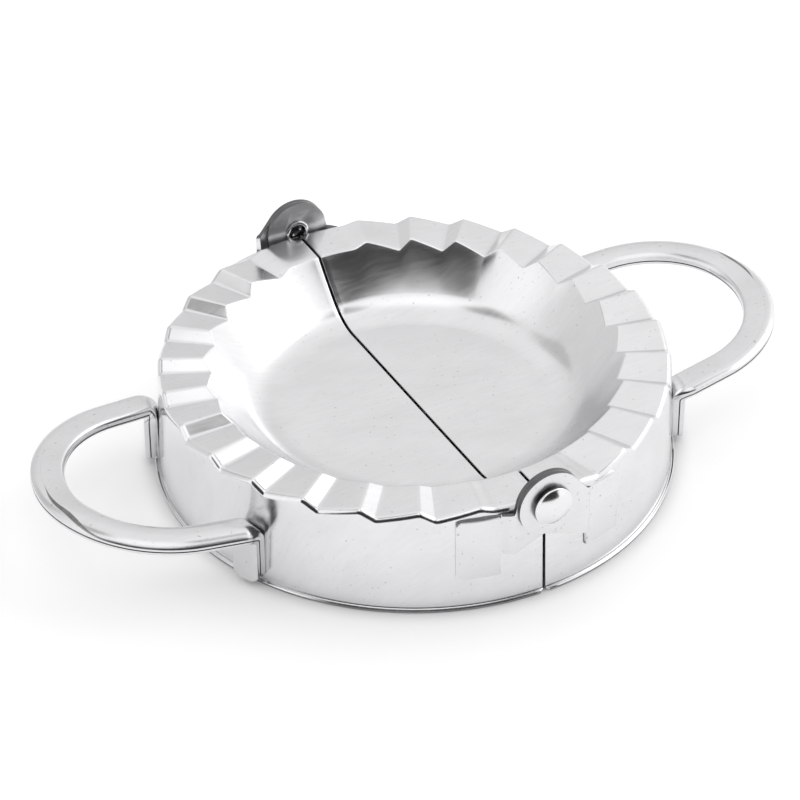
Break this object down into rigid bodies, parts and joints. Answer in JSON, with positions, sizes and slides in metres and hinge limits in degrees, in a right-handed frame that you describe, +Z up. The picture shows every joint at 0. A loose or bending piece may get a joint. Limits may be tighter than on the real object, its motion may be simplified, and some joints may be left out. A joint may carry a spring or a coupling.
{
  "type": "dumpling press",
  "caption": "Round folding dumpling press of polished stainless sheet: hinged half dishes with a saw-toothed crimping rim, a cutting lip and looped handles.",
  "frame": {"origin": "middle of the base, on the plane the press stands on, in the split between the halves", "axes": "+Z up; Y along the split and the hinge line, -Y towards the front hinge; X along the handles, +X towards the half that folds"},
  "size_m": [0.1466, 0.101, 0.0262],
  "materials": {
    "shell_steel": "pressed stainless sheet, bright, with a fine brushed grain in the dish",
    "handle_steel": "rolled stainless strip, polished",
    "lug_steel": "stamped stainless sheet, satin",
    "rivet_steel": "polished domed rivet"
  },
  "bodies": {
    "left_half": {"left_shell": "shell_steel", "left_handle": "handle_steel", "front_inner_lug": "lug_steel", "back_outer_lug": "lug_steel", "front_rivet": "rivet_steel", "back_rivet": "rivet_steel"},
    "right_half": {"right_shell": "shell_steel", "right_handle": "handle_steel", "front_outer_lug": "lug_steel", "back_inner_lug": "lug_steel"}
  },
  "joints": [
    {"name": "fold", "type": "hinge", "parent": "left_half", "child": "right_half", "pos_m": [0, 0, 0.0201], "axis": [0, -1, 0], "range_deg": [0, 180]}
  ]
}
